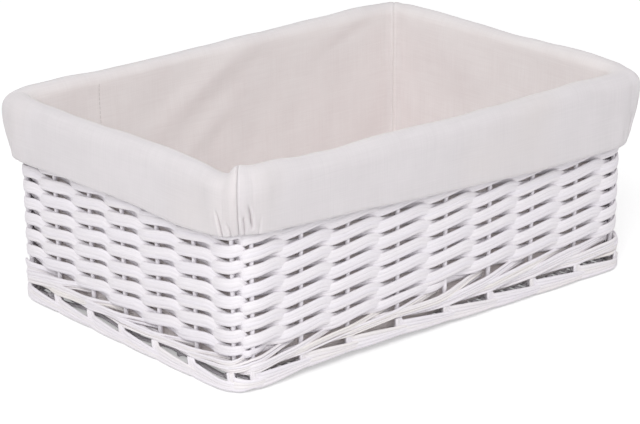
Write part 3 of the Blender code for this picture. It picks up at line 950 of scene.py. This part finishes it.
def cloth_path(stations):
    """Reach and height of each row of the cloth (rows first), from the bottom inside to the hem."""
    flat = 0 * stations
    bulge = np.exp(-(from_corner(stations) / BULGE_SPREAD) ** 2)
    hem = hem_height(stations) + CLOTH / 2
    crest = CREST + rim_rise(stations)
    inner = ROLL_START * FLARE + WALL_DEPTH
    rows = []
    for share in np.linspace(0, 1, WALL_ROWS):
        height = LINER_BOTTOM + (ROLL_START - LINER_BOTTOM) * share
        rows.append((height * FLARE + WALL_DEPTH + flat, height + flat))
    for angle in np.linspace(0, math.pi, ROLL_ROWS)[1:-1]:
        outer = (1 - math.cos(angle)) / 2
        foot = ROLL_START if outer < 0.5 else FLAP_TOP
        reach = inner + (FLAP_REACH - inner) * outer + corner_out(1) * bulge * outer ** 2
        rows.append((reach, foot + (crest - foot) * math.sin(angle)))
    for share in np.linspace(1, 0, FLAP_ROWS):
        height = hem + CLOTH + (FLAP_TOP - hem - CLOTH) * share
        rows.append((FLAP_REACH + bulge * corner_out(share), height))
    rows.append((FLAP_REACH - HEM_STEP / 2 + bulge * corner_out(0), hem))
    for share in HEM_SHARES:
        climb = HEM_TURN * share / (FLAP_TOP - hem)
        reach = FLAP_REACH - HEM_STEP + bulge * corner_out(climb)
        rows.append((reach, hem + HEM_TURN * share))
    reaches, heights = zip(*rows)
    return np.array(reaches), np.array(heights)


FLAP_START = WALL_ROWS + ROLL_ROWS - 2
TURN_START = FLAP_START + FLAP_ROWS
print("rows in a panel:", len(cloth_path(np.array([0.0]))[0]))

# %% [markdown]
# ## Folds on the cloth
#
# Every fold is a line drawn on the cloth, with a height and a width. The distance to the line is
# measured in metres along the flap, so a helper turns stations into metres walked round the rim.

# %% Walk round the rim
WALK_STEPS = 3400
FOLD_END = 0.08
FOLD_FADE = 0.7

WALK_STATIONS = np.linspace(-1, STATIONS + 1, WALK_STEPS + 1)
walk_steps = np.linalg.norm(np.diff(plan(WALK_STATIONS, FLAP_REACH)[0], axis=0), axis=1)
WALKED = np.concatenate([[0], np.cumsum(walk_steps)])


def walk(stations):
    """Metres walked round the flap."""
    return np.interp(stations, WALK_STATIONS, WALKED)


def near_line(along, heights, line):
    """Distance from each point of the cloth to a line drawn on it, and how far along the line."""
    best = np.full(along.shape, np.inf)
    share = np.zeros(along.shape)
    pieces = list(zip(line, line[1:]))
    for number, ((x, z), (next_x, next_z)) in enumerate(pieces):
        run_x, run_z = next_x - x, next_z - z
        part = ((along - x) * run_x + (heights - z) * run_z) / (run_x ** 2 + run_z ** 2)
        part = np.clip(part, 0, 1)
        away = np.hypot(along - x - part * run_x, heights - z - part * run_z)
        share = np.where(away < best, (number + part) / len(pieces), share)
        best = np.minimum(best, away)
    return best, share


def fold(along, heights, line, height, width):
    """A ridge, or a groove when its height is negative, that fades out at both ends."""
    away, share = near_line(along, heights, line)
    fade = np.sin(math.pi * np.clip(share, FOLD_END, 1 - FOLD_END)) ** FOLD_FADE
    return height * np.exp(-(away / width) ** 2) * fade


print("metres round the flap:", round(float(walk(STATIONS) - walk(0)), 3))


# %% Gathers at the corners
# Each gather is a groove: metres from the seam and above the hem at its top, the same at its foot,
# and its depth.
GATHERS = [
    ((-0.0173, 0.025), (-0.0138, -0.002), 0.0050),
    ((-0.0083, 0.015), (-0.0062, -0.002), 0.0026),
    ((0.0034, 0.020), (0.0052, 0.002), 0.0032),
    ((0.0068, 0.029), (0.0108, 0.008), 0.0050),
    ((0.0185, 0.018), (0.0172, 0.000), 0.0012),
]
GATHER_WIDTH = 0.0013
LIP_WIDTH = 2.4 * GATHER_WIDTH
LIP_SHARE = 0.3
GATHER_FADE = 1.3
CORNER_SIDES = [1, -1, 1, -1]


def corner_gathers(from_seam, above_hem, side):
    """Short upright pleats near one corner, with puffed lips; side mirrors them for other corners."""
    lift = np.zeros_like(from_seam)
    for (top_x, top_z), (foot_x, foot_z), depth in GATHERS:
        middle = ((top_x + foot_x * 2) / 3, (top_z + foot_z) / 2)
        line = [(side * x, z) for x, z in ((top_x, top_z), middle, (foot_x, foot_z))]
        away, share = near_line(from_seam, above_hem, line)
        groove = np.exp(-(away / GATHER_WIDTH) ** 2) - LIP_SHARE * np.exp(-(away / LIP_WIDTH) ** 2)
        lift -= depth * groove * np.clip(share * 3, 0, 1) ** GATHER_FADE
    return lift


# %% Seams, and folds of the inside
CREASE_DEPTH = 0.0012
CREASE_WIDTH = 0.0011
BAND_HEIGHT = 0.0005
BAND_WIDTH = 0.0065
BAND_EDGE = 0.0005
WAVE_LENGTH = 0.26

# Station and height along each fold, its height towards the inside, and its width.
BACK_FOLDS = [
    ([(19.2, 0.183), (19.87, 0.172), (20.64, 0.148), (21.6, 0.120)], 0.0032, 0.011),
    ([(19.5, 0.140), (20.3, 0.115), (21.0, 0.085)], 0.0024, 0.010),
    ([(17.9, 0.130), (18.67, 0.158), (19.25, 0.184)], -0.0010, 0.016),
    ([(17.6, 0.158), (16.9, 0.170), (16.1, 0.184)], -0.0012, 0.007),
    ([(17.9, 0.165), (17.1, 0.179), (16.4, 0.188)], 0.0014, 0.007),
    ([(22.60, 0.184), (22.73, 0.172)], 0.0010, 0.0035),
]
RIGHT_FOLDS = [
    ([(9.4, 0.172), (10.4, 0.160), (11.6, 0.166)], -0.0009, 0.015),
    ([(12.2, 0.120), (13.2, 0.150), (14.4, 0.176)], 0.0016, 0.018),
]


def seam_relief(from_start, to_end, band_at_end):
    """The crease along both edges of a panel, and the seam allowance that shows through beside one."""
    crease = np.exp(-(from_start / CREASE_WIDTH) ** 2) + np.exp(-(to_end / CREASE_WIDTH) ** 2)
    beside = to_end if band_at_end else from_start
    return BAND_HEIGHT / (1 + np.exp((beside - BAND_WIDTH) / BAND_EDGE)) - CREASE_DEPTH * crease


def soft_waves(along, heights, size, seedling):
    """Broad shallow hollows and swells, and finer ones on them."""
    chance = np.random.default_rng(seedling)
    total = np.zeros_like(along)
    for octave in range(7):
        length = WAVE_LENGTH / (1 + octave * 0.9) * chance.uniform(0.8, 1.2)
        lean = chance.uniform(-0.9, 0.9)
        phase = chance.uniform(0, 6.28) + 1.4 * np.sin(heights * 30 + octave * 2 + along * 5)
        total += np.sin(2 * math.pi * (along + lean * heights) / length + phase) / (1 + octave)
    return size * total


# %% Helpers for a panel
SEAM_SPACING = 0.0008
SPACING_GROWTH = 0.0037
GROWTH_START = 0.024
GROWTH_LENGTH = 0.02
OUTSIDE_WAVES = 0.0006
INSIDE_WAVES = 0.0007
INSIDE_LIFT = 0.0009
SEAM_ROOM = 0.00012


def panel_columns(first, last):
    """Stations across a panel: close together near the seams, wider apart between them."""
    along = np.linspace(walk(first), walk(last), 2001)
    from_seam = np.minimum(along - along[0], along[-1] - along)
    growth = SPACING_GROWTH * np.clip((from_seam - GROWTH_START) / GROWTH_LENGTH, 0, 1)
    weight = 1 / (SEAM_SPACING + growth)
    count = np.concatenate([[0], np.cumsum((weight[1:] + weight[:-1]) / 2 * np.diff(along))])
    chosen = np.interp(np.linspace(0, count[-1], int(count[-1]) + 2), count, along)
    return np.interp(chosen, WALKED, WALK_STATIONS)


def visible_way(reach, height):
    """Which way is towards the side of the cloth that shows, in reach and height."""
    down = np.stack([np.gradient(reach, axis=0), np.gradient(height, axis=0)])
    down /= np.linalg.norm(down, axis=0)
    way = np.stack([-down[1], down[0]])
    way[:, TURN_START - 1:] = np.array((1.0, 0.0))[:, None, None]
    return way


def panel_relief(quarter, columns, height, folds, band_at_end):
    """How far each point of a panel is lifted towards the side of the cloth that shows."""
    along = walk(np.broadcast_to(columns, height.shape))
    from_start, to_end = along - along[0, 0], along[0, -1] - along
    outside = np.clip((np.arange(len(height))[:, None] - WALL_ROWS - 4) / 6, 0, 1)
    above_hem = height - hem_height(columns)
    lift = outside * soft_waves(along, height, OUTSIDE_WAVES, 40 + quarter)
    lift = lift + (1 - outside) * (INSIDE_LIFT + soft_waves(along, height, INSIDE_WAVES, 60 + quarter))
    for line, rise, width in folds:
        drawn = [(float(walk(station)), level) for station, level in line]
        lift = lift + (1 - outside) * fold(along, height, drawn, rise, width)
    lift = lift + outside * corner_gathers(from_start, above_hem, CORNER_SIDES[quarter])
    lift = lift + outside * corner_gathers(-to_end, above_hem, CORNER_SIDES[(quarter + 1) % 4])
    return lift + seam_relief(from_start, to_end, band_at_end)


def finish_cloth(cloth, name, node, flat):
    """Makes a grid of cloth one piece with its real thickness."""
    piece = make_piece(cloth, name, [node], COTTON, "liner")
    thickness = piece.modifiers.new("cloth", "SOLIDIFY")
    thickness.thickness = CLOTH
    thickness.offset = 0
    print(name, "flat size:", round(flat[0], 3), "x", round(flat[1], 3))


# %% Lay the panels
laid = {}


def add_panel(side, quarter, folds, band_at_end):
    last = CORNERS[quarter]
    columns = panel_columns(last - SIDE_SPANS[quarter] - 1, last)
    reach, height = cloth_path(columns)
    lift = panel_relief(quarter, columns, height, folds, band_at_end)
    way = visible_way(reach, height)
    reach, height = reach + lift * way[0], height + lift * way[1]
    laid[side] = (columns, reach, height)
    place, outward = plan(columns, reach)
    room = np.zeros(len(columns))
    room[0], room[-1] = SEAM_ROOM, -SEAM_ROOM
    place = place + np.stack([-outward[..., 1], outward[..., 0]], axis=-1) * room[:, None]
    across = walk(columns) - walk(columns[0])
    middle = len(columns) // 2
    steps_down = np.hypot(np.diff(reach[:, middle]), np.diff(height[:, middle]))
    down = np.concatenate([[0], np.cumsum(steps_down)])
    cloth = bmesh.new()
    uv_layer = cloth.loops.layers.uv.new("cloth_uv")
    bmesh.ops.create_grid(cloth, x_segments=len(columns) - 1, y_segments=len(reach) - 1, size=1)
    for vertex in cloth.verts:
        column = round((vertex.co.x + 1) / 2 * (len(columns) - 1))
        level = round((vertex.co.y + 1) / 2 * (len(reach) - 1))
        vertex.co = (*place[level, column], height[level, column])
        for loop in vertex.link_loops:
            loop[uv_layer].uv = (across[column], down[level])
    flat = (float(across[-1]), float(down[-1]))
    finish_cloth(cloth, f"liner_panel_{side}", f"liner_{side}", flat)


add_panel("front", 0, [], True)
add_panel("right", 1, RIGHT_FOLDS, True)
add_panel("back", 2, BACK_FOLDS, False)
add_panel("left", 3, [], True)

# %% [markdown]
# ## The elastic in the hem
#
# A flat elastic runs round inside the hem. It is a rod with nearly no thickness on the hem's path.

# %% Hem elastic
ELASTIC_WIDTH = 0.006
ELASTIC_THICK = 0.0005
ELASTIC_ABOVE_HEM = 0.0072
ELASTIC_STEPS = 24


def flap_reach(side):
    """Stations and reach of a laid panel's outer layer, at the elastic's height."""
    columns, reach, height = laid[side]
    level = hem_height(columns) + ELASTIC_ABOVE_HEM
    flap = slice(TURN_START - 1, FLAP_START, -1)
    found = [np.interp(z, height[flap, column], reach[flap, column]) for column, z in enumerate(level)]
    return columns, np.array(found)


sides = [flap_reach(side) for side in ("front", "right", "back", "left")]
laid_stations = np.concatenate([side[0] for side in sides])
laid_reach = np.concatenate([side[1] for side in sides])
around = np.append(np.arange(0, STATIONS, 1 / ELASTIC_STEPS), STATIONS)
elastic_reach = np.interp(around, laid_stations, laid_reach, period=STATIONS) - HEM_STEP / 2
points, ways = on_plan(around, elastic_reach, hem_height(around) + ELASTIC_ABOVE_HEM)
band = new_bundle()
add_rod(band, points, ways, ELASTIC_WIDTH, ELASTIC_THICK, closed=True)
finish_bundle(band, "hem_elastic_band", "hem_elastic", material=ELASTIC, body="liner", slot="elastic_web")

# %% [markdown]
# ## A seam in the back panel
#
# The back panel is pieced from two widths of cloth, so a line of machine stitches runs down it.

# %% Stitches
STITCH_STATION = 22.6
STITCH_START = 0.004
STITCH_PITCH = 0.0042
STITCH_LENGTH = 0.0028
STITCH_TOP = 0.179
STITCH_THICK = 0.0004
STITCH_RISE = np.array((0.0, 0.00025, 0.0003, 0.00025, 0.0))
STITCH_STEPS = len(STITCH_RISE)

columns, reach, height = laid["back"]
beside = int(np.argmin(np.abs(columns - STITCH_STATION)))
stitches = new_bundle()
for level in np.arange(LINER_BOTTOM + STITCH_START, STITCH_TOP, STITCH_PITCH):
    heights = level + STITCH_LENGTH * np.linspace(0, 1, STITCH_STEPS)
    cloth_reach = np.interp(heights, height[:WALL_ROWS, beside], reach[:WALL_ROWS, beside])
    points, ways = on_plan(columns[beside], cloth_reach - CLOTH / 2 - STITCH_RISE, heights)
    add_rod(stitches, points, ways, STITCH_THICK, STITCH_THICK, sides=6)
finish_bundle(stitches, "back_seam_stitches", material=THREAD, body="liner", slot="cotton")

# %% [markdown]
# ## The liner's floor
#
# The floor panel lies on the woven base, with a soft unevenness from the rods below. Its corners
# are rounded like the basket's.

# %% Liner floor
FLOOR_X = 0.2150
FLOOR_Y = 0.1435
FLOOR_CORNER = 0.012
FLOOR_COLUMNS = 90
FLOOR_ROWS = 60
FLOOR_RIPPLE = 0.0004


def rounded(x, y):
    """Moves a point of a plain rectangle to its place on one with round corners."""
    past_x = max(abs(x) - (FLOOR_X - FLOOR_CORNER), 0)
    past_y = max(abs(y) - (FLOOR_Y - FLOOR_CORNER), 0)
    if past_x * past_y == 0:
        return x, y
    shrink = max(past_x, past_y) / math.hypot(past_x, past_y)
    return (math.copysign(abs(x) - past_x + past_x * shrink, x),
            math.copysign(abs(y) - past_y + past_y * shrink, y))


floor_cloth = bmesh.new()
floor_uv = floor_cloth.loops.layers.uv.new("cloth_uv")
bmesh.ops.create_grid(floor_cloth, x_segments=FLOOR_COLUMNS, y_segments=FLOOR_ROWS, size=1)
for vertex in floor_cloth.verts:
    x, y = rounded(vertex.co.x * FLOOR_X, vertex.co.y * FLOOR_Y)
    long_wave = math.sin(31 * x / FLOOR_X + 5 * y / FLOOR_Y)
    ripple = FLOOR_RIPPLE * long_wave * math.sin(17 * y / FLOOR_Y - 3 * x / FLOOR_X)
    vertex.co = (x, y, LINER_BOTTOM + CLOTH / 2 + abs(ripple))
    for loop in vertex.link_loops:
        loop[floor_uv].uv = (x, y)
floor_size = (2 * FLOOR_X, 2 * FLOOR_Y)
finish_cloth(floor_cloth, "liner_floor_panel", "liner_floor", floor_size)

# %% [markdown]
# ## Floor and light
#
# The photograph has a pure white background and a faint soft shadow under the basket. The floor is
# an ordinary pale surface for the light that bounces off it, and for the camera most of its white
# comes from itself, so the shadow stays faint. The sky is one even white, with a large lamp from
# the upper left for a little shape.

# %% Floor
PLAIN_WHITE = (1, 1, 1, 1)
PAPER_WHITE = (0.86, 0.86, 0.86, 1)
VEIL_WHITE = (0.84, 0.84, 0.84, 1)
FLOOR_GLOW = 0.36
GROUND_HALF_SIZE = 6

floor = Finish("studio_floor")
paper = floor.node("BsdfDiffuse", (PAPER_WHITE,))["BSDF"]
glow = floor.node("Emission", (PLAIN_WHITE, FLOOR_GLOW))["Emission"]
veil = floor.node("BsdfDiffuse", (VEIL_WHITE,))["BSDF"]
seen = floor.node("AddShader", (glow, veil))["Shader"]
shown = floor.node("MixShader", (floor.seen_rays(), paper, seen))["Shader"]
floor.feed(floor.tree.nodes["Material Output"].inputs["Surface"], shown)

ground = bmesh.new()
bmesh.ops.create_grid(ground, x_segments=1, y_segments=1, size=GROUND_HALF_SIZE)
ground_piece = make_object(ground, "studio_floor", floor.material)

# %% Light
SKY_STRENGTH = 0.68
LAMP_POWER = 46.0
LAMP_TURN = math.radians(-47)
LAMP_RISE = math.radians(36)
LAMP_DISTANCE = 3.2
LAMP_SIZE = 1.6

world = bpy.data.worlds.new("studio")
world.use_nodes = True
bpy.context.scene.world = world
backdrop = NodeTree(world.node_tree)
sky = world.node_tree.nodes["Background"]
backdrop.feed(sky.inputs["Color"], PLAIN_WHITE)
backdrop.feed(sky.inputs["Strength"], SKY_STRENGTH)
sky_light = Value(backdrop, sky.outputs["Background"])
plain = backdrop.node("Background", (PLAIN_WHITE, 1.0))["Background"]
choice = backdrop.node("MixShader", (backdrop.seen_rays(), sky_light, plain))["Shader"]
backdrop.feed(world.node_tree.nodes["World Output"].inputs["Surface"], choice)

lamp_data = bpy.data.lights.new("soft_lamp", "AREA")
lamp_data.shape = "SQUARE"
lamp_data.size = LAMP_SIZE
lamp_data.energy = LAMP_POWER
lamp = bpy.data.objects.new("soft_lamp", lamp_data)
stand(lamp, way_from(LAMP_TURN, LAMP_RISE), LAMP_DISTANCE, 0.0)
print("sky:", SKY_STRENGTH, "lamp:", LAMP_POWER, "W")
